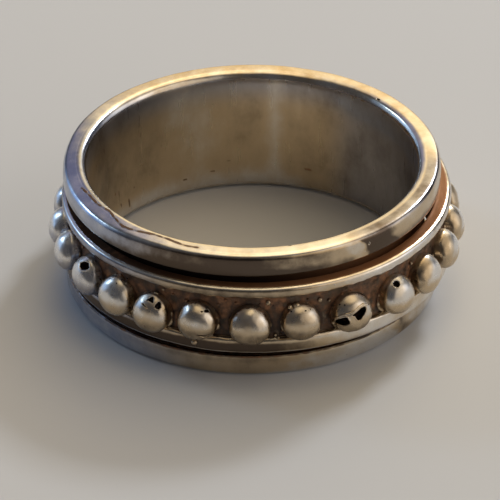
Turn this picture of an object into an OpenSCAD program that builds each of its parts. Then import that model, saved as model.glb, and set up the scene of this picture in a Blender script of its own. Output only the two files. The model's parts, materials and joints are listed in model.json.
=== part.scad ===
// Spinner ring: a plain inner band that sits on the finger, and a beaded outer band that
// turns on it, caught between two rims. The ring lies on its side: the finger's way runs
// along Z, and the table is at z = 0. Angles run from the front (-Y) round to the right (+X).

/* [Ring] */
// Inside diameter, which is the finger size
bore_d = 19; // [15:0.1:23]
// Width of the ring along the finger
ring_w = 7.93; // [7:0.01:10]

/* [Inner band] */
// Wall of the sleeve that the spinner turns on
sleeve_t = 0.5; // [0.3:0.05:0.9]
// How far the two rims stand out from the sleeve
rim_stand = 0.9; // [0.75:0.05:1.4]
// Width of each rim along the finger
rim_w = 1.34; // [1:0.01:1.6]
// How far the bore opens out at each end
flare_out = 0.5; // [0.2:0.05:0.7]
// How deep that opening-out reaches into the bore
flare_in = 0.45; // [0.2:0.05:0.7]
// How far the rims' outer edges round inwards
rim_round = 0.25; // [0.1:0.05:0.35]
// How far the same rounding runs down the rims' outer faces
rim_fall = 0.45; // [0.2:0.05:0.7]
// Small rounding of every other edge
edge_r = 0.06; // [0.02:0.01:0.1]

/* [Spinner] */
// Play between the sleeve and the spinner, all round
turn_play = 0.38; // [0.25:0.01:0.5]
// What is left of that play where the spinner leans on the sleeve
lean_gap = 0.13; // [0.05:0.01:0.2]
// Gap between the lower rim and the spinner
low_gap = 0.46; // [0.2:0.01:0.7]
// Gap between the upper rim and the spinner
high_gap = 0.54; // [0.2:0.01:0.7]
// Wall of the strip that carries the beads
strip_t = 0.5; // [0.35:0.05:0.8]
// Width of the upper rail
upper_rail_w = 0.64; // [0.4:0.01:0.9]
// Width of the lower rail
lower_rail_w = 0.92; // [0.5:0.01:1.1]
// How far the upper rail stands out from the strip
upper_rail_stand = 0.39; // [0.2:0.01:0.6]
// How far the lower rail stands out from the strip
lower_rail_stand = 0.42; // [0.2:0.01:0.6]
// Rounding of the rails' outer edges
rail_round = 0.14; // [0.05:0.01:0.19]

/* [Beads] */
// Number of beads round the spinner
bead_count = 25; // [16:1:26]
// Diameter of a bead
bead_d = 2.14; // [1.7:0.01:2.4]
// How far a bead's centre lies outside the strip's face
bead_rise = 0.12; // [0:0.01:0.3]
// How far the beads sink into the lower rail, to which they are soldered
bead_sink = 0.3; // [0.05:0.01:0.5]
// How far the whole row of beads is turned to the right
bead_turn = 0; // [-7:0.5:7]

/* [Hidden] */
$fn = 96;

bore_r = bore_d / 2;
sleeve_r = bore_r + sleeve_t;
rim_r = sleeve_r + rim_stand;
strip_in_r = sleeve_r + turn_play;
strip_r = strip_in_r + strip_t;

// Where the spinner lies: off the ring's axis to the right, until it leans on the sleeve
lean = turn_play - lean_gap;
spinner_low = rim_w + low_gap;
spinner_high = ring_w - rim_w - high_gap;
spinner_w = spinner_high - spinner_low;
lower_rail_top = spinner_low + lower_rail_w;
upper_rail_low = spinner_high - upper_rail_w;
bead_r = bead_d / 2;
bead_axis_r = strip_r + bead_rise;
bead_z = lower_rail_top + bead_r - bead_sink;
bead_step = 360 / bead_count;
first_bead = -floor(bead_count / 2);

// Bead 0 faces the front, and the others are numbered to its right, with minus to its left.
// A bead sits at an even step round the row, apart from those named here, which the maker set
// by eye. slip turns a bead to the right of its even place, in degrees. lift raises it, as a
// share of the usual bead's radius, and size is its own radius as a share of that.
// columns: bead, slip, lift, size
BEAD = 0;
SLIP = 1;
LIFT = 2;
OWN_SIZE = 3;
SET_BY_EYE = [
    [-6, -0.6, 0, 1],
    [-5, -1.0, 0, 1],
    [-4, -0.9, -0.06, 1],
    [-3, -1.5, -0.06, 1],
    [-2, -3.0, -0.16, 1],
    [-1, -2.8, 0, 1],
    [0, -2.2, 0, 1],
    [1, -1.9, 0.06, 0.94],
    [2, -0.8, 0, 1.02],
    [3, 1.0, -0.06, 1],
    [4, 0.4, -0.06, 1],
    [5, 0.5, 0, 1],
    [6, 0.6, 0, 1],
];

// Pits left in the beads by casting gas. swing turns a pit to the right of its bead's own
// front, rise lifts it above the bead's middle. width is that of the mouth and depth is how
// far the pit goes in, both as shares of the bead's own radius.
// columns: bead, swing, rise, width, depth
SWING = 1;
RISE = 2;
WIDTH = 3;
DEPTH = 4;
PITS = [
    [-4, 22, 58, 0.60, 0.45],
    [-3, -38, 66, 0.16, 0.14],
    [-3, 28, 66, 0.16, 0.14],
    [-2, -8, 46, 0.26, 0.18],
    [-2, 14, 66, 0.40, 0.22],
    [-2, 50, 50, 0.40, 0.28],
    [-1, 66, 62, 0.28, 0.24],
    [1, -50, 62, 0.20, 0.18],
    [1, 20, 66, 0.18, 0.18],
    [2, -60, -4, 0.32, 0.26],
    [2, -42, 2, 0.36, 0.28],
    [2, -24, 6, 0.30, 0.24],
    [2, -6, 16, 0.34, 0.28],
    [2, 10, 26, 0.36, 0.30],
    [2, -58, 50, 0.14, 0.14],
    [3, -30, 66, 0.46, 0.34],
];

// Grains of solder left beside the beads. up is a share of the spinner's width, measured from
// its lower edge, out a share of the lower rail's stand, and size a share of a bead's radius.
// columns: angle, up, out, size
ANGLE = 0;
UP = 1;
OUT = 2;
SIZE = 3;
GRAINS = [
    [3.1, 0.73, 0, 0.16],
    [-21.3, 0.71, 0, 0.14],
    [19.6, 0.68, 0, 0.24],
    [-18.2, 0.11, 1, 0.16],
];

// Points of a rounded corner: a quarter of an ellipse about a centre, from one angle to another
function corner(centre, across, along, from, to, steps = 6) = [
    for (i = [0:steps])
        let (a = from + (to - from) * i / steps)
        centre + [across * cos(a), along * sin(a)]
];

// Half of the inner band's section: the lower rim, from the bore round to the sleeve
RIM_EDGE = concat(
    corner([bore_r + flare_out, flare_in], flare_out, flare_in, 180, 270),
    corner([rim_r - rim_round, rim_fall], rim_round, rim_fall, 270, 360),
    corner([rim_r - edge_r, rim_w - edge_r], edge_r, edge_r, 0, 90, 3),
    [[sleeve_r, rim_w]]
);

// The same points for the upper rim, in the order that closes the outline
UPPER_RIM_EDGE = [
    for (i = [len(RIM_EDGE) - 1:-1:0])
        [RIM_EDGE[i].x, ring_w - RIM_EDGE[i].y]
];

module inner_band() {
    color("silver")
        rotate_extrude()
            polygon(concat(RIM_EDGE, UPPER_RIM_EDGE));
}

// Section of the strip with its two rails, about the spinner's own axis
module spinner_section() {
    upper_r = strip_r + upper_rail_stand;
    lower_r = strip_r + lower_rail_stand;
    polygon(concat(
        corner([strip_in_r + edge_r, spinner_low + edge_r], edge_r, edge_r, 180, 270, 3),
        corner([lower_r - edge_r, spinner_low + edge_r], edge_r, edge_r, 270, 360, 3),
        corner([lower_r - rail_round, lower_rail_top - rail_round], rail_round, rail_round, 0, 90),
        [[strip_r, lower_rail_top], [strip_r, upper_rail_low]],
        corner([upper_r - edge_r, upper_rail_low + edge_r], edge_r, edge_r, 270, 360, 3),
        corner([upper_r - rail_round, spinner_high - rail_round], rail_round, rail_round, 0, 90),
        corner([strip_in_r + edge_r, spinner_high - edge_r], edge_r, edge_r, 90, 180, 3)
    ));
}

// A ball with its pole facing -Y, so that cuts round its middle stay clear of its poles
module ball(r) {
    rotate([90, 0, 0])
        sphere(r = r);
}

// The row that says how bead n sits
function setting(n) =
    let (rows = [for (row = SET_BY_EYE) if (row[BEAD] == n) row])
    len(rows) > 0 ? rows[0] : [n, 0, 0, 1];

function own_r(n) = bead_r * setting(n)[OWN_SIZE];

// Puts its children at the centre of a bead, with the bead's own front facing -Y
module at_bead(n) {
    rotate([0, 0, bead_turn + n * bead_step + setting(n)[SLIP]])
        translate([0, -bead_axis_r, bead_z + setting(n)[LIFT] * bead_r])
            children();
}

// Cutter for one pit: a ball whose cap is as wide and as deep as the pit
module pit_cutter(pit) {
    half = pit[WIDTH] * own_r(pit[BEAD]) / 2;
    deep = pit[DEPTH] * own_r(pit[BEAD]);
    ball_r = (half * half + deep * deep) / (2 * deep);
    at_bead(pit[BEAD])
        rotate([0, 0, pit[SWING]])
            rotate([-pit[RISE], 0, 0])
                translate([0, -(own_r(pit[BEAD]) - deep + ball_r), 0])
                    ball(ball_r);
}

module solder_grain(grain) {
    grain_r = strip_r + grain[OUT] * lower_rail_stand;
    grain_z = spinner_low + grain[UP] * spinner_w;
    rotate([0, 0, grain[ANGLE]])
        translate([0, -grain_r, grain_z])
            ball(grain[SIZE] * bead_r);
}

module spinner_band() {
    color("silver")
        translate([lean, 0, 0])
            difference() {
                union() {
                    rotate_extrude() spinner_section();
                    for (n = [first_bead:first_bead + bead_count - 1])
                        at_bead(n) ball(own_r(n));
                    for (grain = GRAINS)
                        solder_grain(grain);
                }
                translate([0, 0, spinner_low])
                    cylinder(r = strip_in_r, h = spinner_w);
                for (pit = PITS)
                    pit_cutter(pit);
            }
}

inner_band();
spinner_band();
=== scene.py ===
# A silver spinner ring lying on its side: an inner band with two rims, and a beaded outer
# band that turns on it. The ring was soldered together by hand and then worn for years.
import json
import math
import random

import bpy
import numpy as np
from mathutils import Matrix, Vector


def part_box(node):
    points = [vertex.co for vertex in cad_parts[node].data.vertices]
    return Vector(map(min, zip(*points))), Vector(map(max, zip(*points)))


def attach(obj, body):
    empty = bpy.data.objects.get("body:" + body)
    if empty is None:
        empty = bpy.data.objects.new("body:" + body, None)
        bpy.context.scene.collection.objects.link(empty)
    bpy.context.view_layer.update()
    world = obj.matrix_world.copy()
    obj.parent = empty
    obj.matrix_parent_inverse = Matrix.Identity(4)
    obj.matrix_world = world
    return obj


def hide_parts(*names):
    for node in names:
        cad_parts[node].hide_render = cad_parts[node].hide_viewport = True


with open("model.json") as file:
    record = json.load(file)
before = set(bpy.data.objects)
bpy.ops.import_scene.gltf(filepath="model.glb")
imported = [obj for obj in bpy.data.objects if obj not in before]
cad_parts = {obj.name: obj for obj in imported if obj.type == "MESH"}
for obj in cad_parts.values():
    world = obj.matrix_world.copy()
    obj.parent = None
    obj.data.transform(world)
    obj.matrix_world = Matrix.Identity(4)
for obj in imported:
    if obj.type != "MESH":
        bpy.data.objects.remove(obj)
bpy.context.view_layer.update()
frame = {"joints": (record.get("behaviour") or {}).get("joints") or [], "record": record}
scene = bpy.context.scene
MM = 0.001

# Camera: the photograph looks down at the ring from the front, from about 21 cm away and
# with a long lens, held very slightly askew.
camera_distance = 212.3 * MM
camera_lens = 260.4
camera_rise = math.radians(32.75)
camera_pitch = math.radians(32.41)
camera_yaw = math.radians(0.046)
camera_roll = math.radians(-0.40)

bpy.ops.object.camera_add()
camera = bpy.context.object
camera.name = "photo_camera"
camera.data.lens = camera_lens
camera.data.sensor_width = 36
camera.data.clip_start = 0.01
eye = Vector((0, -math.cos(camera_rise), math.sin(camera_rise))) * camera_distance
camera.matrix_world = (
    Matrix.Translation(eye)
    @ Matrix.Rotation(camera_yaw, 4, "Z")
    @ Matrix.Rotation(math.pi / 2 - camera_pitch, 4, "X")
    @ Matrix.Rotation(camera_roll, 4, "Z")
)
scene.camera = camera


# Inner band: one piece of silver, a thin sleeve with a rim at each end. The second rim was
# turned over once the spinner was on. The bore is satin and opens out at both ends.
rim_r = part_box("inner_band")[1].x
ring_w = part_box("inner_band")[1].z
bore_r = frame["record"]["mounts"][0]["dims"]["r_mm"] * MM
sleeve_t = 0.5 * MM
rim_w = 1.34 * MM
band_steps = 150


def deselect_everything():
    """Leaves object mode with nothing selected."""
    if bpy.context.object and bpy.context.object.mode == "EDIT":
        bpy.ops.object.mode_set(mode="OBJECT")
    bpy.ops.object.select_all(action="DESELECT")


def draw_path(name, places, closed):
    """A chain of edges through these places, drawn by extruding one vertex from place to place."""
    deselect_everything()
    bpy.ops.mesh.primitive_plane_add(size=MM, location=places[0])
    path = bpy.context.object
    path.name = name
    bpy.ops.object.mode_set(mode="EDIT")
    bpy.ops.mesh.merge(type="CENTER")
    for here, there in zip(places, [*places[1:], *places[:closed]]):
        bpy.ops.mesh.extrude_region_move(TRANSFORM_OT_translate={"value": Vector(there) - Vector(here)})
    bpy.ops.mesh.select_all(action="SELECT")
    bpy.ops.mesh.remove_doubles(threshold=MM / 1000)
    bpy.ops.object.mode_set(mode="OBJECT")
    bpy.ops.object.transform_apply(location=True, rotation=True, scale=True)
    return path


def draw_outline(name, points):
    """A closed outline in the XZ plane."""
    return draw_path(name, [(across, 0, up) for across, up in points], True)


def spin_round(outline, steps):
    """Turns a closed outline about the ring's axis into a closed ring."""
    bpy.ops.object.mode_set(mode="EDIT")
    bpy.ops.mesh.select_all(action="SELECT")
    bpy.ops.mesh.spin(steps=steps, angle=2 * math.pi, center=(0, 0, 0), axis=(0, 0, 1))
    bpy.ops.mesh.select_all(action="SELECT")
    bpy.ops.mesh.remove_doubles(threshold=MM / 1000)
    bpy.ops.mesh.normals_make_consistent(inside=False)
    bpy.ops.object.mode_set(mode="OBJECT")


def apply_modifier(piece, kind, **settings):
    """Gives a piece one modifier with these settings, and applies it."""
    bpy.context.view_layer.objects.active = piece
    modifier = piece.modifiers.new(kind.lower(), kind)
    for key, value in settings.items():
        setattr(modifier, key, value)
    bpy.ops.object.modifier_apply(modifier=modifier.name)


def make_uneven(piece, size, height, group="", direction="NORMAL"):
    """Moves the surface in and out by a cloud of lumps of this size."""
    cloud = bpy.data.textures.new(piece.name + "_lumps", "CLOUDS")
    cloud.noise_scale = size
    apply_modifier(
        piece,
        "DISPLACE",
        texture=cloud,
        texture_coords="LOCAL",
        strength=height,
        direction=direction,
        vertex_group=group,
    )


def get_points(piece):
    """The places of a mesh's vertices, as an array."""
    points = np.zeros(len(piece.data.vertices) * 3)
    piece.data.vertices.foreach_get("co", points)
    return points.reshape(-1, 3)


def set_points(piece, points):
    piece.data.vertices.foreach_set("co", points.ravel())
    piece.data.update()


def smooth_step(low, high, value):
    """0 below low, 1 above high, and a smooth rise between; it falls if high is the smaller."""
    share = np.clip((value - low) / (high - low), 0, 1)
    return share * share * (3 - 2 * share)


def between(value, start, full, fade, end):
    """1 from full to fade, 0 outside start and end, and a smooth change at each side."""
    return smooth_step(start, full, value) * smooth_step(end, fade, value)


def read_off(table, value):
    """The number that a table of (place, number) gives at each value."""
    places, numbers = zip(*table)
    return np.interp(value, places, numbers)


def set_mask(piece, name, values):
    """Stores one number per vertex for the material to read."""
    mask = piece.data.attributes.new(name, "FLOAT", "POINT")
    mask.data.foreach_set("value", np.asarray(values, dtype=np.float32))


# The lower half of the band's section, in millimetres out from the bore's wall and up
rim_stand = (rim_r - bore_r) / MM
rim_top = rim_w / MM
sleeve_out = sleeve_t / MM
rim_section = [
    (0, 2.6), (0, 1.2), (0, 0.62), (0.07, 0.26), (0.22, 0.07), (0.42, 0), (0.62, 0), (0.85, 0),
    (rim_stand - 0.24, 0.01), (rim_stand - 0.09, 0.12), (rim_stand - 0.01, 0.36), (rim_stand, 0.75),
    (rim_stand, rim_top - 0.16), (rim_stand - 0.03, rim_top - 0.03), (rim_stand - 0.14, rim_top),
    (sleeve_out + 0.35, rim_top), (sleeve_out + 0.04, rim_top), (sleeve_out, rim_top + 0.06),
    (sleeve_out, 2.6),
]
lower_half = [(bore_r + out * MM, up * MM) for out, up in rim_section]
upper_half = [(across, ring_w - up) for across, up in reversed(lower_half)]
band = draw_outline("inner_band_silver", lower_half + upper_half)
spin_round(band, band_steps)
apply_modifier(band, "SUBSURF", levels=2, render_levels=2)
make_uneven(band, 3.0 * MM, 0.05 * MM)
make_uneven(band, 0.7 * MM, 0.012 * MM)


def near_line(across, along, path, width):
    """1 on a chain of places and 0 a width away from it; both axes are in millimetres."""
    spot = np.stack([across, along], axis=1)
    share = np.zeros(len(spot))
    for start, end in zip(np.array(path[:-1]), np.array(path[1:])):
        way = end - start
        reach = np.clip((spot - start) @ way / (way @ way), 0, 1)
        gap = np.linalg.norm(spot - start - reach[:, None] * way, axis=1)
        share = np.maximum(share, smooth_step(width, width * 0.3, gap))
    return share


# Rubbing has rounded the upper rim's outer shoulder at the left
shoulder_wear = 0.21 * MM
points = get_points(band)
radius = np.hypot(points[:, 0], points[:, 1])
around = np.degrees(np.arctan2(points[:, 0], -points[:, 1]))
worn_left = between(around, -115, -80, -52, -24)
shoulder = smooth_step(bore_r + 0.3 * MM, rim_r - 0.05 * MM, radius)
shoulder *= smooth_step(ring_w - 0.95 * MM, ring_w - 0.15 * MM, points[:, 2])
points[:, 2] -= shoulder_wear * worn_left * shoulder
points[:, 2] = np.maximum(points[:, 2], 0)
set_points(band, points)

# Where the film is thick: (degrees, film). It is partly tarnish and partly painted shade and light:
# thick and dark on the outer faces in front, where they mirror dark surroundings, and thin in the
# patches that catch light. The degrees run to the right from the front on the two rims' outer
# faces, and right round from the front in the bore.
upper_face_film_and_painted_shading = [
    (-180, 0.5), (-80, 0.4), (-50, 0.45), (-30, 0.8), (-22, 1.0), (-8, 1.0), (2, 0.95), (9, 0.8),
    (15, 0.66), (22, 0.6), (28, 0.5), (31, 0.2), (34.5, 0.3), (36, 1.1), (45, 1.0), (48, 0.5),
    (90, 0.35), (180, 0.5),
]
lower_face_film_and_painted_shading = [
    (-180, 0.4), (-60, 0.3), (-30, 0.45), (0, 0.5), (12, 0.3), (22, 0.06), (44, 0.06), (49, 0.7),
    (53, 0.25), (180, 0.4),
]
bore_film_and_painted_shading = [
    (0, 0.6), (90, 0.6), (125, 0.64), (138, 0.62), (154, 0.52), (166, 0.54), (171.5, 0.24), (176, 0.5),
    (186, 0.54), (200, 0.36), (214, 0.5), (232, 0.62), (270, 0.6), (360, 0.6),
]
height = points[:, 2]
behind = np.mod(around, 360)
radius_mm = radius / MM
height_mm = height / MM
arc_mm = np.radians(around) * bore_r / MM
behind_mm = np.radians(behind) * bore_r / MM
upper = height > ring_w / 2
on_crest = height_mm > 7.5
outer_face = smooth_step(rim_r - 0.16 * MM, rim_r - 0.06 * MM, radius)
bore_wall = smooth_step(bore_r + 0.10 * MM, bore_r + 0.02 * MM, radius)

# The ends of the rims are rubbed nearly bare. The thin film at the left, right and back is partly
# tarnish and partly painted reflection: blue-grey on the left top, the left inner lip and the right
# crest, and gold on the back crest.
left_top = between(around, -125, -95, -62, -40) * smooth_step(10.05, 10.2, radius_mm)
left_inner = between(around, -120, -95, -62, -45) * on_crest * (radius_mm < 10.1)
right_top = between(around, 24, 40, 82, 100) * on_crest
right_top *= smooth_step(9.95, 10.15, radius_mm) * (1 - outer_face)
back_crest = between(behind, 80, 120, 255, 285) * on_crest
film = np.where(upper, 0.04 + 0.08 * worn_left + 0.2 * left_top, 0.3) * (1 - outer_face)
film += 0.22 * back_crest + 0.4 * left_inner - 0.4 * smooth_step(0.22, 0.05, height_mm)
film *= 1 - bore_wall
film += 0.7 * right_top

# The outer faces are brown in front, partly tarnish and partly painted shade for the dark
# surroundings they mirror, with ragged ends to each patch. The upper face is painted darker
# towards its foot and the lower face towards its top, as shade.
ragged = around + 2.5 * (height_mm - 7.3)
ragged += 0.5 * np.sin(9 * height_mm) + 0.5 * np.sin(5 * arc_mm + 7 * height_mm)
upper_face = read_off(upper_face_film_and_painted_shading, ragged) + 0.3 * smooth_step(7.25, 6.75, height_mm)
lower_face = read_off(lower_face_film_and_painted_shading, ragged + 14) + 0.15 * smooth_step(0.7, 1.1, height_mm)
film += outer_face * np.where(upper, upper_face, lower_face)

# The bore is yellowed all round, with lighter and darker stretches that are partly painted light and
# shade. Low down at the back it is lighter and golden, a painted highlight.
golden_foot = smooth_step(1.9, 0.6, height_mm) * between(behind, 130, 175, 240, 285)
bore_tint = read_off(bore_film_and_painted_shading, behind)
bore_tint += golden_foot * (0.18 - bore_tint)
film += bore_wall * bore_tint
set_mask(band, "film", film)

# A painted blue-grey reflection tints the film on the left, on the right of the crest, high up in
# the bore and on the bore's right.
left_side = between(around, -150, -110, -48, -12)
bore_top = bore_wall * smooth_step(5.6, 7.4, height_mm)
bore_right = bore_wall * between(behind, 85, 105, 138, 155)
painted_cool_reflection = (left_side + 0.8 * right_top) * (1 - bore_wall) + 0.8 * bore_top + 0.7 * bore_right
set_mask(band, "painted_cool_reflection", np.clip(painted_cool_reflection, 0, 1))

# Crust: in the groove, under the spinner's edge, where it is also painted shade, in a streak along
# the left crest that is thick and thin by turns, and in a few smears inside the bore.
groove = between(height, rim_w - 0.1 * MM, rim_w, ring_w - rim_w, ring_w - rim_w + 0.1 * MM)
groove *= smooth_step(rim_r - 0.1 * MM, rim_r - 0.35 * MM, radius)
groove *= smooth_step(bore_r + 0.2 * MM, bore_r + 0.4 * MM, radius)
under_spinner = 0.6 * outer_face * smooth_step(1.12, 1.26, height_mm) * (1 - upper)
# (degrees to the right of the front, millimetres from the axis)
streak_places = [
    (-70.9, 10.21), (-65.3, 10.09), (-59.8, 10.11), (-53.8, 9.95), (-44.4, 10.36), (-41.3, 10.33),
    (-32.8, 10.05), (-27.7, 10.08), (-21.2, 10.31), (-17.3, 10.30),
]
streak = [(math.radians(turn) * bore_r / MM, out) for turn, out in streak_places]
crest_streak = near_line(arc_mm, radius_mm, streak, 0.15) * on_crest
crest_streak *= 0.85 + 0.15 * np.sin(arc_mm * 4.1) + 0.15 * np.sin(arc_mm * 11 + 1)
# Chains of (degrees right round from the front, millimetres up)
bore_smears = [
    [(236.6, 2.3), (236.2, 1.7)], [(235.6, 1.5), (235.2, 1.2)], [(231, 1.35), (230.6, 0.85)],
    [(239, 2.5), (238.6, 2.2)], [(206, 1.2), (205, 1.1)], [(195.5, 1.42), (194, 1.36)],
    [(212, 1.5), (210, 1.45)], [(224, 3.1), (223.7, 2.9)], [(215, 4.1), (214.8, 4.0)],
    [(189, 1.9), (188, 1.88)], [(160, 1.6), (158, 1.62)], [(228, 1.9), (227, 1.8)],
]
smears = np.zeros(len(points))
for smear in bore_smears:
    chain = [(math.radians(turn) * bore_r / MM, up) for turn, up in smear]
    smears = np.maximum(smears, near_line(behind_mm, height_mm, chain, 0.17))
smears *= 0.58 * bore_wall
set_mask(band, "recess", np.clip(groove + under_spinner + 0.85 * crest_streak + smears, 0, 1))
# In the groove the red-brown share grows towards the right, painted light; in the streak it is the crust's
# own colour.
set_mask(band, "grime_and_painted_light", np.clip(groove * smooth_step(-5, 50, around) + 0.25 * crest_streak, 0, 1))
bpy.ops.object.shade_smooth()


def new_group(name, inputs, outputs):
    """An empty shader node group with these named sockets."""
    group = bpy.data.node_groups.new(name, "ShaderNodeTree")
    for label, kind, value in inputs:
        socket = group.interface.new_socket(label, in_out="INPUT", socket_type="NodeSocket" + kind)
        if value is not None:
            socket.default_value = value
    for label, kind in outputs:
        group.interface.new_socket(label, in_out="OUTPUT", socket_type="NodeSocket" + kind)
    return group


def add_node(tree, kind, settings=None, **links):
    """A node with its settings; each link is a socket to plug in, or a value to set."""
    node = tree.nodes.new("ShaderNode" + kind)
    for key, value in (settings or {}).items():
        setattr(node, key, value)
    for label, value in links.items():
        key = int(label[1:]) if label[0] == "_" else label.replace("_", " ")
        if isinstance(value, bpy.types.NodeSocket):
            tree.links.new(value, node.inputs[key])
        else:
            node.inputs[key].default_value = value
    return node


def blend_colour(tree, share, first, second):
    """The mix of two colours by a share that is a socket."""
    mix = add_node(tree, "Mix", {"data_type": "RGBA"}, Factor=share)
    for key, value in ((6, first), (7, second)):
        if isinstance(value, bpy.types.NodeSocket):
            tree.links.new(value, mix.inputs[key])
        else:
            mix.inputs[key].default_value = (*value, 1)
    return mix.outputs[2]


def multiply_axes(tree, vector, factors):
    """A vector socket times another or a constant, axis by axis."""
    return add_node(tree, "VectorMath", {"operation": "MULTIPLY"}, _0=vector, _1=factors).outputs[0]


def remap(tree, value, low, high, to_low=0.0, to_high=1.0):
    """A socket's value moved smoothly from one range to another."""
    node = add_node(tree, "MapRange", {"interpolation_type": "SMOOTHSTEP"}, Value=value)
    for key, number in (("From Min", low), ("From Max", high), ("To Min", to_low), ("To Max", to_high)):
        node.inputs[key].default_value = number
    return node.outputs["Result"]


def combine(tree, operation, first, second, third=None):
    """One sum of two or three sockets or numbers."""
    links = {"_0": first, "_1": second}
    if third is not None:
        links["_2"] = third
    return add_node(tree, "Math", {"operation": operation}, **links).outputs[0]


# Tarnish on silver: a yellow to brown film that lies in patches, and a nearly black crust that
# stays in the recesses where nothing rubs it off. The masks fed in also carry painted shade and light.
tarnish = new_group(
    "tarnish",
    [("Place", "Vector", None), ("Recess", "Float", 0.0), ("Film", "Float", 0.4)],
    [("Film", "Float"), ("Crust", "Float"), ("Grain", "Float"), ("Patch", "Float")],
)
inside = tarnish.nodes.new("NodeGroupInput")
outside = tarnish.nodes.new("NodeGroupOutput")
patches = add_node(tarnish, "TexNoise", Vector=inside.outputs["Place"], Scale=620, Detail=5, Roughness=0.62)
specks = add_node(tarnish, "TexNoise", Vector=inside.outputs["Place"], Scale=2200, Detail=6, Roughness=0.6)
cloudy = combine(tarnish, "MULTIPLY_ADD", patches.outputs["Fac"], 0.9, -0.45)
film_share = combine(tarnish, "ADD", inside.outputs["Film"], cloudy)
film_share = combine(tarnish, "MAXIMUM", film_share, inside.outputs["Recess"])
crust_noise = combine(tarnish, "MULTIPLY_ADD", specks.outputs["Fac"], 0.6, -0.3)
crust_place = combine(tarnish, "ADD", inside.outputs["Recess"], crust_noise)
crust_share = remap(tarnish, crust_place, 0.38, 0.68)
tarnish.links.new(film_share, outside.inputs["Film"])
tarnish.links.new(crust_share, outside.inputs["Crust"])
tarnish.links.new(specks.outputs["Fac"], outside.inputs["Grain"])
tarnish.links.new(patches.outputs["Fac"], outside.inputs["Patch"])

# Fine scratches: hairlines, made by stretching noise along the way of rubbing.
hairlines = new_group(
    "hairlines",
    [
        ("Place", "Vector", None),
        ("Across", "Float", 9000.0),
        ("Along", "Float", 500.0),
        ("Up", "Float", 500.0),
    ],
    [("Height", "Float")],
)
inside = hairlines.nodes.new("NodeGroupInput")
outside = hairlines.nodes.new("NodeGroupOutput")
stretch = add_node(
    hairlines,
    "CombineXYZ",
    X=inside.outputs["Across"],
    Y=inside.outputs["Along"],
    Z=inside.outputs["Up"],
)
stretched = multiply_axes(hairlines, inside.outputs["Place"], stretch.outputs[0])
lines = add_node(hairlines, "TexNoise", Vector=stretched, Scale=1, Detail=3, Roughness=0.6)
hairlines.links.new(lines.outputs["Fac"], outside.inputs["Height"])

# Film and crust colours. The golden film also paints a warm reflection, the brown film paints shade, the
# blue-grey colour paints a cool reflection, and the red crust paints light on the ledge.
bare_silver = (0.80, 0.78, 0.75)
golden_film_and_painted_reflection = (0.60, 0.48, 0.33)
painted_blue_grey_reflection = (0.40, 0.43, 0.52)
brown_film_and_painted_shade = (0.11, 0.083, 0.064)
black_crust = (0.030, 0.018, 0.013)
red_crust_and_painted_light = (0.38, 0.18, 0.085)


def silver(name, rough, line_scales, line_depth, stain_scale=(1, 1, 1)):
    """Worn silver with its film and crust of tarnish, and hairlines running one way; its masks also carry
    painted shade, painted light and a painted blue-grey reflection.
    """
    material = bpy.data.materials.new(name)
    material.use_nodes = True
    tree = material.node_tree
    shader = tree.nodes["Principled BSDF"]
    place = add_node(tree, "TexCoord").outputs["Object"]
    recess, film, painted_cool_reflection, grime_and_painted_light = (
        add_node(tree, "Attribute", {"attribute_name": mask}).outputs["Fac"]
        for mask in ("recess", "film", "painted_cool_reflection", "grime_and_painted_light")
    )
    stain = add_node(
        tree,
        "Group",
        {"node_tree": tarnish},
        Place=multiply_axes(tree, place, stain_scale),
        Recess=recess,
        Film=film,
    )
    lines = add_node(tree, "Group", {"node_tree": hairlines}, Place=place)
    for label, scale in zip(("Across", "Along", "Up"), line_scales):
        lines.inputs[label].default_value = scale
    tint = blend_colour(tree, painted_cool_reflection, golden_film_and_painted_reflection, painted_blue_grey_reflection)
    colour = blend_colour(tree, remap(tree, stain.outputs["Film"], 0.0, 0.5), bare_silver, tint)
    colour = blend_colour(tree, remap(tree, stain.outputs["Film"], 0.45, 1.0), colour, brown_film_and_painted_shade)
    filmed = remap(tree, film, 0, 0.6)
    warm = combine(tree, "MULTIPLY", remap(tree, stain.outputs["Grain"], 0.3, 0.75), filmed)
    warm = combine(tree, "MULTIPLY", warm, remap(tree, stain.outputs["Patch"], 0.36, 0.62, 0.15, 1))
    warm = combine(tree, "MAXIMUM", warm, grime_and_painted_light)
    crust = blend_colour(tree, warm, black_crust, red_crust_and_painted_light)
    colour = blend_colour(tree, stain.outputs["Crust"], colour, crust)
    tree.links.new(colour, shader.inputs["Base Color"])
    tree.links.new(remap(tree, stain.outputs["Crust"], 0, 1, 1.0, 0.3), shader.inputs["Metallic"])
    roughness = remap(tree, stain.outputs["Crust"], 0, 1, rough, 0.42)
    scratched = remap(tree, lines.outputs["Height"], 0.3, 0.7, -0.03, 0.05)
    roughness = combine(tree, "ADD", roughness, scratched)
    tree.links.new(roughness, shader.inputs["Roughness"])
    grain = combine(tree, "MULTIPLY", stain.outputs["Grain"], stain.outputs["Crust"])
    height = combine(tree, "MULTIPLY_ADD", lines.outputs["Height"], line_depth, grain)
    bump = add_node(tree, "Bump", Height=height, Strength=0.6, Distance=0.00003)
    tree.links.new(bump.outputs["Normal"], shader.inputs["Normal"])
    return material


band_silver = silver("band_silver", rough=0.2, line_scales=(700, 700, 9000), line_depth=0.25)
bore_silver = silver(
    "bore_silver",
    rough=0.3,
    line_scales=(3000, 3000, 350),
    line_depth=0.5,
    stain_scale=(0.6, 0.6, 0.42),
)
band.data.materials.append(band_silver)
band.data.materials.append(bore_silver)
for face in band.data.polygons:
    if math.hypot(face.center.x, face.center.y) < bore_r + 0.05 * MM:
        face.material_index = 1

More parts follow.
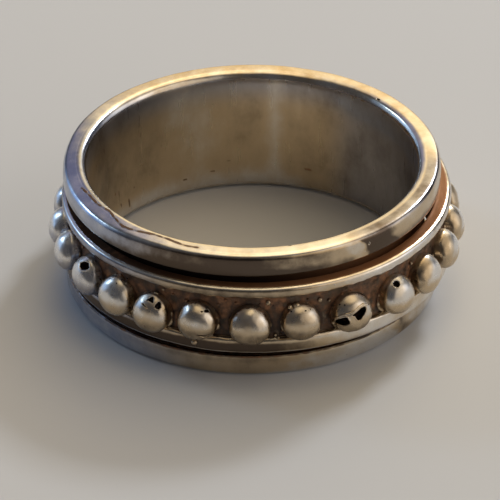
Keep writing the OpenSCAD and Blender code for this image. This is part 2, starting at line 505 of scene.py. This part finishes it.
# The inside of pits and nicks is dark and dull
pit_floor = bpy.data.materials.new("pit_floor")
pit_floor.use_nodes = True
pit_tree = pit_floor.node_tree
pit_shader = pit_tree.nodes["Principled BSDF"]
pit_black = (0.014, 0.010, 0.009)
pit_brown = (0.11, 0.065, 0.045)
pit_place = add_node(pit_tree, "TexCoord").outputs["Object"]
pit_grain = add_node(pit_tree, "TexNoise", Vector=pit_place, Scale=9000, Detail=4)
pit_share = remap(pit_tree, pit_grain.outputs["Fac"], 0.42, 0.68)
pit_tree.links.new(blend_colour(pit_tree, pit_share, pit_black, pit_brown), pit_shader.inputs["Base Color"])
pit_shader.inputs["Metallic"].default_value = 0.6
pit_shader.inputs["Roughness"].default_value = 0.42


def apply_place(piece):
    """Puts a piece's place, turn and scale into its mesh."""
    deselect_everything()
    piece.select_set(True)
    bpy.context.view_layer.objects.active = piece
    bpy.ops.object.transform_apply(location=True, rotation=True, scale=True)


def join_to(piece, others):
    """Makes these objects part of a piece."""
    deselect_everything()
    for other in others:
        other.select_set(True)
    piece.select_set(True)
    bpy.context.view_layer.objects.active = piece
    bpy.ops.object.join()


def cut_away(piece, cutter):
    """Cuts a cutter out of a piece. The cut's walls take the cutter's material."""
    apply_modifier(
        piece,
        "BOOLEAN",
        object=cutter,
        operation="DIFFERENCE",
        solver="EXACT",
        material_mode="TRANSFER",
    )
    bpy.data.objects.remove(cutter)


def cut_nicks(piece, nicks):
    """Cuts small ragged hollows, each (around, out, up, (width, depth, height)) in degrees and mm."""
    lumps = []
    for around, out, up, spread in nicks:
        deselect_everything()
        bpy.ops.mesh.primitive_ico_sphere_add(subdivisions=3, radius=MM / 2)
        lump = bpy.context.object
        turn = math.radians(around)
        lump.matrix_world = (
            Matrix.Translation((math.sin(turn) * out * MM, -math.cos(turn) * out * MM, up * MM))
            @ Matrix.Rotation(turn, 4, "Z")
            @ Matrix.Diagonal((*spread, 1))
        )
        apply_place(lump)
        make_uneven(lump, 0.12 * MM, 0.05 * MM)
        lumps.append(lump)
    join_to(lumps[0], lumps[1:])
    lumps[0].data.materials.append(pit_floor)
    cut_away(piece, lumps[0])


band_nicks = [
    (36.8, 10.93, 7.42, (0.2, 0.12, 0.24)), (35.2, 10.93, 7.0, (0.12, 0.08, 0.1)),
    (130.5, 9.86, 7.86, (0.34, 0.16, 0.14)), (-33, 10.3, 7.97, (0.3, 0.1, 0.1)),
    (-50, 10.93, 0.8, (0.2, 0.08, 0.14)), (29, 10.93, 0.5, (0.3, 0.07, 0.1)),
    (-120, 10.93, 7.3, (0.24, 0.1, 0.2)), (88, 10.93, 0.7, (0.2, 0.1, 0.2)),
    (162, 10.93, 7.1, (0.16, 0.1, 0.16)), (-168, 10.93, 0.9, (0.3, 0.1, 0.12)),
    (12, 9.9, 7.9, (0.2, 0.1, 0.08)),
]
cut_nicks(band, band_nicks)
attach(band, "band")
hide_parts("inner_band")


# Spinner strip: a flat strip bent round the sleeve, with a rail of heavier wire soldered
# along each edge. It hangs loose, and leans on the sleeve at the left.
spinner_low, spinner_high = (corner.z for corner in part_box("spinner_band"))
spin_axis = Vector(frame["joints"][0]["pos_m"])
strip_in_r = 10.38 * MM
strip_r = 10.88 * MM
upper_rail_r = 11.27 * MM
lower_rail_r = 11.30 * MM
upper_rail_w = 0.64 * MM
lower_rail_w = 0.92 * MM
lower_rail_top = spinner_low + lower_rail_w
upper_rail_low = spinner_high - upper_rail_w

# The strip's section: each corner, and the points near it in millimetres out and up from it
strip_corners = [
    (strip_in_r, spinner_low, [(0, 0.35), (0, 0.07), (0.07, 0)]),
    (lower_rail_r, spinner_low, [(-0.35, 0), (-0.07, 0), (0, 0.07), (0.005, 0.4)]),
    (lower_rail_r, lower_rail_top, [(-0.005, -0.2), (-0.06, -0.04), (-0.2, 0)]),
    (strip_r, lower_rail_top, [(0.08, -0.02), (0, 0.1), (0, 0.5), (0, 1.0)]),
    (strip_r, upper_rail_low, [(0, -1.2), (0, -0.6), (0, -0.15), (0.06, -0.01)]),
    (upper_rail_r, upper_rail_low, [(-0.2, 0), (-0.04, 0.03), (0, 0.2)]),
    (upper_rail_r, spinner_high, [
        (0, -0.3), (-0.03, -0.17), (-0.09, -0.09), (-0.18, -0.05), (-0.28, -0.01), (-0.36, -0.04),
    ]),
    (strip_in_r, spinner_high, [(0.2, -0.08), (0.06, -0.04), (0, -0.12), (0, -0.5)]),
]
strip_outline = [
    (corner_r + out * MM, corner_z + up * MM)
    for corner_r, corner_z, near in strip_corners
    for out, up in near
]
strip = draw_outline("spinner_strip", strip_outline)
spin_round(strip, band_steps)
apply_modifier(strip, "SUBSURF", levels=2, render_levels=2)


def paint_group(piece, name, weights):
    """A vertex group that holds these weights, one for each vertex."""
    group = piece.vertex_groups.new(name=name)
    for index in np.nonzero(weights > 0.01)[0]:
        group.add([int(index)], float(weights[index]), "REPLACE")


# The floor between the rails is rough, and solder has run unevenly along the upper rail's foot
points = get_points(strip)
radius = np.hypot(points[:, 0], points[:, 1])
height = points[:, 2]
fade = 0.1 * MM
on_floor = between(height, lower_rail_top - fade, lower_rail_top, upper_rail_low, upper_rail_low + fade)
on_floor *= smooth_step(strip_r - 0.2 * MM, strip_r - 0.1 * MM, radius)
paint_group(strip, "floor", on_floor)
spread = 0.3 * MM
rail_foot = between(height, upper_rail_low - spread, upper_rail_low, upper_rail_low, upper_rail_low + spread)
rail_foot *= smooth_step(strip_r + 0.05 * MM, strip_r + 0.2 * MM, radius)
paint_group(strip, "rail_foot", rail_foot)
make_uneven(strip, 0.4 * MM, 0.16 * MM, "floor")
make_uneven(strip, 0.9 * MM, 0.22 * MM, "rail_foot", "Z")
make_uneven(strip, 2.5 * MM, 0.05 * MM)
make_uneven(strip, 0.6 * MM, 0.014 * MM)

# A knock has pushed the upper rail down a little at the left
points = get_points(strip)
around = np.degrees(np.arctan2(points[:, 0], -points[:, 1]))
knock_depth = 0.18 * MM
knock = np.exp(-(((around + 62) / 30) ** 2))
share_up = np.clip((points[:, 2] - lower_rail_top) / (spinner_high - lower_rail_top), 0, 1)
points[:, 2] -= knock_depth * knock * share_up
set_points(strip, points)

# The beads' sizes stand here because the strip is blackest close round them. Those named in the
# table were set one by one: (degrees to the right, raised by a share of a radius, own size).
bead_count = 25
bead_numbers = range(-(bead_count // 2), bead_count // 2 + 1)
bead_r = 1.07 * MM
bead_axis_r = 11.0 * MM
bead_z = lower_rail_top + bead_r - 0.3 * MM
set_by_eye = {
    -6: (-0.6, 0, 1), -5: (-1.0, 0, 1), -4: (-0.9, -0.06, 1), -3: (-1.5, -0.06, 1), -2: (-3.0, -0.16, 1),
    -1: (-2.8, 0, 1), 0: (-2.2, 0, 1), 1: (-1.9, 0.06, 0.94), 2: (-0.8, 0, 1.02), 3: (1.0, -0.06, 1),
    4: (0.4, -0.06, 1), 5: (0.5, 0, 1), 6: (0.6, 0, 1),
}


def bead_setting(number):
    """The turn in degrees, height and size of a bead."""
    slip, lift, size = set_by_eye.get(number, (0, 0, 1))
    return number * 360 / bead_count + slip, bead_z + lift * bead_r, size


# The strip close round each bead, where its crust is painted darker as shade
near_beads = np.zeros(len(points))
for number in bead_numbers:
    turn, up, size = bead_setting(number)
    off = np.mod(around - turn + 180, 360) - 180
    gap = np.hypot(np.radians(off) * strip_r, points[:, 2] - up) - size * bead_r
    near_beads = np.maximum(near_beads, smooth_step(0.45 * MM, 0.1 * MM, gap))

# Crust lies on the floor between the rails, and on the ledge inside the upper rail's top. On the
# floor it is painted darker close round the beads and towards the left, as shade; on the ledge it
# turns red-brown, more so on the right, as painted light.
proud = smooth_step(strip_r + 0.08 * MM, strip_r + 0.22 * MM, radius)
near_top = height > spinner_high - 0.2 * MM
ledge = near_top * smooth_step(upper_rail_r - 0.20 * MM, upper_rail_r - 0.27 * MM, radius)
dark = 0.70 - 0.13 * smooth_step(-35, 35, around)
set_mask(strip, "recess", np.clip((dark + 0.16 * ledge + 0.3 * near_beads) * (1 - proud), 0, 1))
# The ledge's red-brown is painted light, stronger on the right
set_mask(strip, "grime_and_painted_light", ledge * (0.25 + 0.75 * smooth_step(-50, 30, around)))

# The rails' edges are rubbed bare. Their faces carry film that is partly tarnish and partly painted
# shade, darker still low down on the left; on the right they are left nearly bare, as painted light.
worn_edge = smooth_step(spinner_high - 0.16 * MM, spinner_high - 0.08 * MM, height)
worn_edge = np.maximum(worn_edge, smooth_step(spinner_low + 0.14 * MM, spinner_low + 0.06 * MM, height))
rail_face = smooth_step(strip_r + 0.28 * MM, strip_r + 0.36 * MM, radius) * (1 - worn_edge)
right_side = between(around, 0, 30, 110, 150)
low_band = 0.45 * smooth_step(0.7, 0.55, (height - spinner_low) / MM) * (1 - right_side)
# The floor keeps thick film, thinner on the right as painted light, and the ledge takes film for its painted
# light
floor_film = (0.85 - 0.15 * right_side) * (1 - near_beads) * (1 - proud) * (1 - ledge) * ~near_top
film = 0.06 + 0.15 * right_side + rail_face * (0.66 - 0.68 * right_side + low_band)
film += 0.8 * ledge + floor_film
set_mask(strip, "film", film)
# A painted blue-grey reflection on the left
set_mask(strip, "painted_cool_reflection", between(around, -150, -110, -50, -20))

strip_nicks = [
    (22.3, 11.31, 5.82, (0.16, 0.12, 0.20)), (28.3, 11.30, 5.92, (0.18, 0.14, 0.14)),
    (24.6, 11.24, 6.06, (0.5, 0.12, 0.06)), (78.0, 10.66, 6.06, (0.13, 0.13, 0.10)),
    (-8, 11.33, 2.3, (0.2, 0.06, 0.12)), (-47, 11.29, 5.9, (0.2, 0.1, 0.12)),
    (112, 11.29, 5.8, (0.24, 0.1, 0.1)), (163, 11.33, 2.1, (0.2, 0.1, 0.16)),
    (-128, 11.29, 5.7, (0.16, 0.12, 0.16)), (-160, 11.25, 6.06, (0.3, 0.12, 0.08)),
]

bpy.ops.object.shade_smooth()
strip_silver = silver("strip_silver", rough=0.22, line_scales=(700, 700, 9000), line_depth=0.2)
strip.data.materials.append(strip_silver)
cut_nicks(strip, strip_nicks)

# The strip was made round the ring's axis, and now moves to where the spinner lies
strip.location = (spin_axis.x, spin_axis.y, 0)
apply_place(strip)
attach(strip, "spinner")
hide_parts("spinner_band")


# Beads: 25 drops of silver soldered in a row just above the lower rail. They were set by eye.
# Their fronts are worn to smooth domes, and the sides run straight back into the strip.
random.seed(24)
dome_depth = 0.70 * MM
wall_step = 0.12 * MM
wall_steps = 6
bead_silver = silver("bead_silver", rough=0.29, line_scales=(2500, 2500, 2500), line_depth=0.15)

# One bead: a cube rounded to a flat ball, cut in half and drawn straight back
deselect_everything()
bpy.ops.mesh.primitive_cube_add(size=2 * bead_r)
bead_model = bpy.context.object
bead_model.data.materials.append(bead_silver)
bead_model.name = "bead_model"
bpy.ops.object.mode_set(mode="EDIT")
bpy.ops.mesh.select_all(action="SELECT")
bpy.ops.mesh.subdivide(number_cuts=19)
bpy.ops.transform.tosphere(value=0.97)
bpy.ops.object.mode_set(mode="OBJECT")
bead_model.dimensions = (2.12 * bead_r, 2 * dome_depth, 2.06 * bead_r)
bpy.ops.object.transform_apply(location=True, rotation=True, scale=True)
apply_modifier(bead_model, "SIMPLE_DEFORM", deform_method="TAPER", deform_axis="Z", factor=-0.08)
bpy.ops.object.mode_set(mode="EDIT")
bpy.ops.mesh.select_all(action="SELECT")
bpy.ops.mesh.bisect(plane_co=(0, -0.02 * MM, 0), plane_no=(0, 1, 0), clear_outer=True)
for _ in range(wall_steps):
    bpy.ops.mesh.extrude_region_move(TRANSFORM_OT_translate={"value": (0, wall_step, 0)})
bpy.ops.mesh.edge_face_add()
bpy.ops.object.mode_set(mode="OBJECT")

# The dome runs further back at the top than at the sides, and faces up a little
top_back = 0.20 * MM
face_tip = 0.07
deepest = 0.36 * MM
points = get_points(bead_model)
depth = points[:, 1] + dome_depth
share_up = points[:, 2] / bead_r
points[:, 1] = depth - bead_r + top_back * smooth_step(0.1, 1, share_up) * smooth_step(0, 0.55 * MM, depth)
points[:, 1] += face_tip * points[:, 2] * smooth_step(1.0 * MM, 0.4 * MM, depth)
points[:, 1] = np.minimum(points[:, 1], deepest)
points[:, 2] *= 0.92 + 0.19 * smooth_step(-0.4, 0.3, share_up)
points[:, 2] += 0.11 * MM
set_points(bead_model, points)


def bead_place(number):
    """Where bead number sits: its own front faces -Y before it is turned into its place."""
    turn, up, size = bead_setting(number)
    return (
        Matrix.Translation((spin_axis.x, spin_axis.y, 0))
        @ Matrix.Rotation(math.radians(turn), 4, "Z")
        @ Matrix.Translation((0, -bead_axis_r, up))
        @ Matrix.Scale(size, 4)
    )


beads = {}
for number in bead_numbers:
    bead = bead_model.copy()
    bead.data = bead_model.data.copy()
    bead.name = f"bead_{number % bead_count:02d}"
    scene.collection.objects.link(bead)
    tip = math.radians(random.uniform(-12, 12))
    stretch = [random.uniform(0.98, 1.02) for _ in range(3)]
    bead.matrix_world = bead_place(number) @ Matrix.Rotation(tip, 4, "Y") @ Matrix.Diagonal((*stretch, 1))
    apply_place(bead)
    make_uneven(bead, 1.2 * MM, 0.10 * MM)
    make_uneven(bead, 0.35 * MM, 0.02 * MM)
    beads[number] = bead
bpy.data.objects.remove(bead_model)


# Pits and tears: gas came out of the silver as the beads cooled. Each one is cut into its bead
# with a ragged mouth, and a burr stands up round the larger ones.
# (bead, swing, rise, depth, burr, mouth). swing turns the pit to the right of the bead's own
# front and rise lifts it, in degrees. depth and the burr's thickness are in millimetres, and so
# is the outline of the mouth, seen from in front of the pit.
speck = [(-0.06, 0), (0, 0.07), (0.07, 0), (0, -0.06)]
mouth_stand = 0.3
pits = [
    (-4, 23, 59, 0.45, 0.10, [
        (-0.43, 0.08), (-0.29, 0.22), (-0.05, 0.3), (0.19, 0.26), (0.36, 0.05), (0.36, -0.12),
        (0.2, -0.26), (-0.07, -0.33), (-0.27, -0.2),
    ]),
    (-3, 89, 66, 0.10, 0, speck),
    (-3, 29, 66, 0.10, 0, speck),
    (-3, -39, 66, 0.10, 0, speck),
    (-2, 15, 66, 0.24, 0.06, [
        (-0.34, -0.08), (-0.17, 0.07), (-0.04, 0.2), (0.1, 0.24), (0.2, 0.11), (0.23, -0.1),
        (0.17, -0.21), (0.01, -0.15), (-0.16, -0.08),
    ]),
    (-2, 51, 50, 0.30, 0.06, [
        (0.04, 0.23), (0.16, 0.24), (0.21, 0.1), (0.15, -0.15), (0, -0.27), (-0.15, -0.18),
        (-0.24, -0.05), (-0.17, 0.09),
    ]),
    (-2, -6, 47, 0.14, 0.04, [
        (-0.27, 0.09), (-0.13, 0.12), (0.11, 0.02), (0.26, -0.07), (0.2, -0.1), (0.01, -0.05),
        (-0.18, 0.01),
    ]),
    (-2, 96, 35, 0.10, 0, speck),
    (-1, 57, 56, 0.24, 0.03, [
        (-0.05, 0.13), (0.14, 0.09), (0.19, -0.07), (0.04, -0.14), (-0.14, -0.06), (-0.18, 0.06),
    ]),
    (-1, 33, 58, 0.10, 0, [(-0.11, 0.05), (0.02, 0.06), (0.09, 0.01), (0.02, -0.07), (-0.06, -0.05)]),
    (-1, 91, 21, 0.08, 0.04, speck),
    (-1, 17, 33, 0.10, 0, [
        (-0.3, -0.74), (0.0, -0.82), (0.35, -0.84), (0.7, -0.68), (0.35, -0.79), (0.0, -0.77),
    ]),
    (1, -60, 56, 0.12, 0, [(-0.08, 0), (0, 0.07), (0.08, 0), (0, -0.08)]),
    (1, 20, 62, 0.12, 0, [(-0.10, 0), (0, 0.06), (0.09, 0.02), (0.02, -0.07)]),
    (1, 50, 58, 0.10, 0, speck),
    (2, -28, 33, 0.42, 0.10, [
        (-0.86, -0.5), (-0.81, -0.4), (-0.71, -0.32), (-0.48, -0.26), (-0.23, -0.22), (-0.11, -0.27),
        (-0.08, -0.36), (-0.01, -0.46), (0.03, -0.57), (-0.04, -0.67), (-0.18, -0.72), (-0.36, -0.75),
        (-0.53, -0.7), (-0.68, -0.65), (-0.8, -0.6),
    ]),
    (2, -28, 33, 0.5, 0.10, [
        (0.06, -0.16), (0.14, -0.07), (0.27, 0.02), (0.47, 0.18), (0.6, 0.28), (0.73, 0.36),
        (0.82, 0.37), (0.88, 0.3), (0.9, 0.18), (0.88, 0.05), (0.8, -0.12), (0.72, -0.25),
        (0.62, -0.38), (0.5, -0.47), (0.38, -0.47), (0.3, -0.36), (0.22, -0.24), (0.12, -0.25),
    ]),
    (2, -28, 33, 0.16, 0, [(-0.04, -0.16), (0.03, -0.13), (0.1, -0.2), (0.06, -0.32), (-0.02, -0.3)]),
    (2, -28, 33, 0.2, 0, [(0.95, 0.62), (1.03, 0.6), (1.06, 0.47), (1.01, 0.38), (0.96, 0.47)]),
    (2, -28, 33, 0.12, 0, [(-0.37, 0.4), (-0.31, 0.47), (-0.25, 0.41), (-0.3, 0.33)]),
    (2, -28, 33, 0.12, 0, [(-0.63, 0.44), (-0.56, 0.51), (-0.5, 0.45), (-0.57, 0.37)]),
    (3, -31, 62, 0.34, 0.08, [
        (-0.22, 0.09), (-0.1, 0.23), (0.1, 0.25), (0.23, 0.11), (0.22, -0.1), (0.09, -0.25),
        (-0.1, -0.24), (-0.23, -0.09),
    ]),
]


def view_of_pit(number, swing, rise):
    """The turn and place of someone who looks at a bead from outside, along swing and rise."""
    return (
        bead_place(number)
        @ Matrix.Rotation(math.radians(swing), 4, "Z")
        @ Matrix.Rotation(math.radians(-rise), 4, "X")
    )


def touch(number, view, across, up):
    """The place on the bead's skin that lies behind a point of the view, or else the nearest one."""
    before = 3
    near_middle = 2.6
    start = view @ Vector((across * MM, -before * MM, up * MM))
    way = view.to_3x3() @ Vector((0, 1, 0))
    hit, place, _, _ = beads[number].ray_cast(start, way.normalized(), distance=(before + 1) * MM)
    if not hit:
        _, place, _, _ = beads[number].closest_point_on_mesh(start + way * near_middle * MM)
    return place


def draw_wire(name, places, thickness, closed=False):
    """A round wire through these places."""
    wire = draw_path(name, places, closed)
    bpy.ops.object.mode_set(mode="EDIT")
    bpy.ops.mesh.select_all(action="SELECT")
    bpy.ops.mesh.subdivide(number_cuts=2, smoothness=0.8)
    bpy.ops.object.mode_set(mode="OBJECT")
    bpy.ops.object.convert(target="CURVE")
    wire = bpy.context.object
    wire.data.bevel_depth = thickness / 2
    wire.data.bevel_resolution = 2
    wire.data.use_fill_caps = True
    bpy.ops.object.convert(target="MESH")
    return bpy.context.object


for index, (number, swing, rise, depth, burr_width, mouth) in enumerate(pits):
    bead = beads[number]
    view = view_of_pit(number, swing, rise)
    edge = [touch(number, view, across, up) for across, up in mouth]
    # The cutter starts in front of the skin and narrows as it goes in
    cutter = draw_path(f"pit_{index}", [view.inverted() @ place for place in edge], True)
    bpy.ops.object.mode_set(mode="EDIT")
    bpy.ops.mesh.select_all(action="SELECT")
    bpy.ops.mesh.subdivide(number_cuts=2, smoothness=0.8)
    bpy.ops.mesh.edge_face_add()
    bpy.ops.transform.translate(value=(0, -mouth_stand * MM, 0))
    down = (mouth_stand + depth * 0.6) * MM
    bpy.ops.mesh.extrude_region_move(TRANSFORM_OT_translate={"value": (0, down, 0)})
    bpy.ops.transform.resize(value=(0.85, 1, 0.85))
    bpy.ops.mesh.extrude_region_move(TRANSFORM_OT_translate={"value": (0, depth * 0.4 * MM, 0)})
    bpy.ops.transform.resize(value=(0.6, 1, 0.6))
    bpy.ops.mesh.select_all(action="SELECT")
    bpy.ops.mesh.normals_make_consistent(inside=False)
    bpy.ops.object.mode_set(mode="OBJECT")
    cutter.data.materials.append(pit_floor)
    cutter.matrix_world = view
    apply_place(cutter)
    make_uneven(cutter, 0.16 * MM, 0.05 * MM)
    cut_away(bead, cutter)
    if burr_width > 0:
        burr = draw_wire(f"burr_{index}", edge, burr_width * MM, True)
        burr.data.materials.append(bead_silver)
        make_uneven(burr, 0.3 * MM, 0.04 * MM)
        join_to(bead, [burr])

# Folds: lips of silver that a tear has pushed up. (bead, swing, rise, thickness, path)
folds = [
    (2, -28, 33, 0.15, [
        (-0.98, -0.68), (-0.93, -0.5), (-0.78, -0.32), (-0.53, -0.18), (-0.23, -0.12), (0.07, -0.03),
        (0.27, 0.1), (0.5, 0.3), (0.72, 0.45), (0.9, 0.42),
    ]),
    (-1, 17, 33, 0.09, [(0.05, -0.84), (0.2, -0.9), (0.4, -0.93), (0.62, -0.88), (0.8, -0.78)]),
]
for index, (number, swing, rise, thickness, lip) in enumerate(folds):
    view = view_of_pit(number, swing, rise)
    ridge = [touch(number, view, across, up) for across, up in lip]
    fold = draw_wire(f"fold_{index}", ridge, thickness * MM)
    fold.data.materials.append(bead_silver)
    make_uneven(fold, 0.3 * MM, 0.04 * MM)
    join_to(beads[number], [fold])

# The domes are rubbed bright. The thin film on the beads in front, and on the forward part of each
# dome, is painted shade for the dark room it mirrors. The walls keep more film, and the lower
# halves are painted darker as shade. On the right film has also stayed on the domes' upper left,
# and on the left beads a painted blue-grey reflection tints it.
for number, bead in beads.items():
    deselect_everything()
    bead.select_set(True)
    bpy.context.view_layer.objects.active = bead
    place = bead_place(number)
    points = get_points(bead)
    own = points @ np.array(place.inverted().to_3x3()).T + np.array(place.inverted().translation)
    front = -own[:, 1]
    share_up = own[:, 2] / bead_r
    faces_you = smooth_step(0.1, 0.95, (place.translation.y - points[:, 1]) / bead_r)
    side = smooth_step(0.50 * MM, 0.40 * MM, front) * smooth_step(1.0, 0.6, share_up)
    upper_left = smooth_step(0.5, 0.85, (own[:, 2] - own[:, 0]) / bead_r / 1.4)
    film = (0.2 if abs(number) < 3 else 0.05) + 0.12 * faces_you + 0.3 * side
    film += 0.38 * smooth_step(0.35, -0.2, share_up) * (1 - side)
    film += (0.4 if 3 < number < 8 else 0) * upper_left
    set_mask(bead, "film", film)
    set_mask(bead, "painted_cool_reflection", np.full(len(own), 0.8 if -9 < number < -3 else 0))
    set_mask(bead, "recess", 0.24 * side + 0.4 * smooth_step(0.12 * MM, -0.10 * MM, front))
    bpy.ops.object.shade_smooth_by_angle(angle=math.radians(48))
    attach(bead, "spinner")
    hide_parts("spinner_band")


# Solder: a ragged collar where each bead meets the strip, and crumbs left lying beside them. It
# was never polished, so it is duller than the silver, and dark where it meets the strip.
solder_silver = silver("solder_silver", rough=0.34, line_scales=(2500, 2500, 2500), line_depth=0.3)
collar_back = Matrix.Translation((0, 0.16 * MM, 0)) @ Matrix.Rotation(math.radians(90), 4, "X")
pieces = []
for number in beads:
    deselect_everything()
    bpy.ops.mesh.primitive_torus_add(
        major_radius=bead_r,
        minor_radius=0.13 * MM,
        major_segments=48,
        minor_segments=10,
    )
    collar = bpy.context.object
    collar.matrix_world = bead_place(number) @ collar_back
    apply_place(collar)
    make_uneven(collar, 0.30 * MM, 0.26 * MM)
    pieces.append(collar)


def on_strip(around, up, out):
    """A place on the spinner: degrees to the right of the front, millimetres up, and out of the strip."""
    turn = math.radians(around)
    out_to = strip_r + out * MM
    return Vector((
        spin_axis.x + math.sin(turn) * out_to,
        spin_axis.y - math.cos(turn) * out_to,
        up * MM,
    ))


# (around, up, out, size) in degrees and millimetres. Those in the table were placed one by one.
crumbs = [
    (3.2, 4.95, 0.02, 0.34), (-21.3, 4.63, 0, 0.24), (18.6, 4.75, 0, 0.3), (21.5, 4.6, 0, 0.26),
    (5.2, 2.8, 0.1, 0.16), (6.0, 2.76, 0.3, 0.14), (-18.2, 2.25, 0.42, 0.34), (9.4, 4.66, 0.16, 0.34),
    (11.4, 4.74, 0.18, 0.38), (13.6, 4.62, 0.2, 0.34), (16.5, 4.3, 0.22, 0.22), (17.3, 4.0, 0.3, 0.2),
    (-31, 4.6, 0.05, 0.3),
]
placed_by_eye = len(crumbs)
for _ in range(150):
    around = random.uniform(-180, 180)
    up = random.choice((2.78, 4.55)) + random.uniform(0, 0.5)
    crumbs.append((around, up, random.uniform(-0.05, 0.03), random.uniform(0.08, 0.26)))
for index, (around, up, out, size) in enumerate(crumbs):
    deselect_everything()
    fineness = 3 if index < placed_by_eye else 2
    bpy.ops.mesh.primitive_ico_sphere_add(subdivisions=fineness, radius=size / 2 * MM)
    crumb = bpy.context.object
    squash = Matrix.Diagonal((random.uniform(0.8, 1.2), 1, random.uniform(0.7, 1.1), 1))
    crumb.matrix_world = Matrix.Translation(on_strip(around, up, out)) @ squash
    apply_place(crumb)
    make_uneven(crumb, 0.1 * MM, size * 0.25 * MM)
    pieces.append(crumb)
join_to(pieces[0], pieces[1:])
solder = bpy.context.object
solder.name = "solder_crumbs"
bpy.ops.object.shade_smooth()
solder.data.materials.append(solder_silver)
points = get_points(solder)
set_mask(solder, "film", np.full(len(points), 0.5))
radius = np.hypot(points[:, 0] - spin_axis.x, points[:, 1] - spin_axis.y)
set_mask(solder, "recess", 0.38 + 0.34 * smooth_step(strip_r + 0.16 * MM, strip_r + 0.04 * MM, radius))
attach(solder, "spinner")
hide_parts("spinner_band")


# Floor and light: a plain pale floor in a soft room. The ceiling is warm behind and on the
# right, cool window light comes in low on the left, and the room is dim towards the camera.
deselect_everything()
bpy.ops.mesh.primitive_circle_add(vertices=96, radius=1.2, fill_type="NGON")
floor = bpy.context.object
floor.name = "pale_floor"
floor_paint = bpy.data.materials.new("pale_floor_paint")
floor_paint.use_nodes = True
floor_shader = floor_paint.node_tree.nodes["Principled BSDF"]
floor_shader.inputs["Base Color"].default_value = (0.58, 0.60, 0.64, 1)
floor_shader.inputs["Roughness"].default_value = 0.6
floor_shader.inputs["Specular IOR Level"].default_value = 0.2
floor.data.materials.append(floor_paint)


def toward(around, up):
    """A direction from the ring. around is 0 behind it and 90 on its right, in degrees."""
    a, e = math.radians(around), math.radians(up)
    return Vector((math.sin(a) * math.cos(e), math.cos(a) * math.cos(e), math.sin(e)))


# (around, up, bright out to, dark beyond, colour, strength), with the angles in degrees
glows = [
    (10, 88, 10, 28, (1.0, 0.78, 0.46), 0.8),
    (20, 62, 12, 32, (1.0, 0.78, 0.46), 1.2),
    (20, 40, 9, 24, (1.0, 0.78, 0.44), 1.2),
    (6, 16, 7, 24, (1.0, 0.76, 0.40), 1.0),
    (88, 46, 6, 32, (1.0, 0.84, 0.62), 0.4),
    (86, 16, 10, 28, (0.92, 0.94, 1.0), 0.8),
    (122, 24, 12, 40, (1.0, 0.86, 0.68), 0.8),
    (-62, 12, 6, 30, (0.40, 0.62, 1.0), 1.0),
    (-24, 34, 5, 22, (0.70, 0.68, 1.0), 0.3),
]
world = bpy.data.worlds.new("soft_room")
world.use_nodes = True
room = world.node_tree
way = add_node(room, "TexCoord").outputs["Generated"]
glow = (0.066, 0.066, 0.072)
for around, up, inner, outer, colour, strength in glows:
    aimed = add_node(room, "VectorMath", {"operation": "DOT_PRODUCT"}, _0=way, _1=toward(around, up))
    rim_cosine, core_cosine = math.cos(math.radians(outer)), math.cos(math.radians(inner))
    share = remap(room, aimed.outputs["Value"], rim_cosine, core_cosine)
    tint = add_node(room, "VectorMath", {"operation": "SCALE"}, _0=colour, Scale=share).outputs[0]
    scaled = add_node(room, "VectorMath", {"operation": "SCALE"}, _0=tint, Scale=strength).outputs[0]
    glow = add_node(room, "VectorMath", {"operation": "ADD"}, _0=scaled, _1=glow).outputs[0]
room.links.new(glow, room.nodes["Background"].inputs["Color"])
scene.world = world


window_distance = 0.4


def window(name, around, up, wide, tall, colour, radiance):
    """A lamp that faces the ring. wide and tall are in degrees, as the ring sees it."""
    deselect_everything()
    bpy.ops.object.light_add(type="AREA")
    lamp = bpy.context.object
    lamp.name = name
    lamp.location = toward(around, up) * window_distance
    lamp.rotation_euler = toward(around, up).to_track_quat("Z", "Y").to_euler()
    lamp.data.shape = "RECTANGLE"
    lamp.data.size = window_distance * math.radians(wide)
    lamp.data.size_y = window_distance * math.radians(tall)
    lamp.data.color = colour
    lamp.data.energy = radiance * math.pi * lamp.data.size * lamp.data.size_y
    lamp.visible_camera = False


window("window_left", -62, 30, wide=12, tall=9, colour=(0.60, 0.80, 1.0), radiance=9)
window("window_back", 32, 36, wide=10, tall=8, colour=(0.90, 0.95, 1.0), radiance=55)
scene.view_settings.view_transform = "Standard"
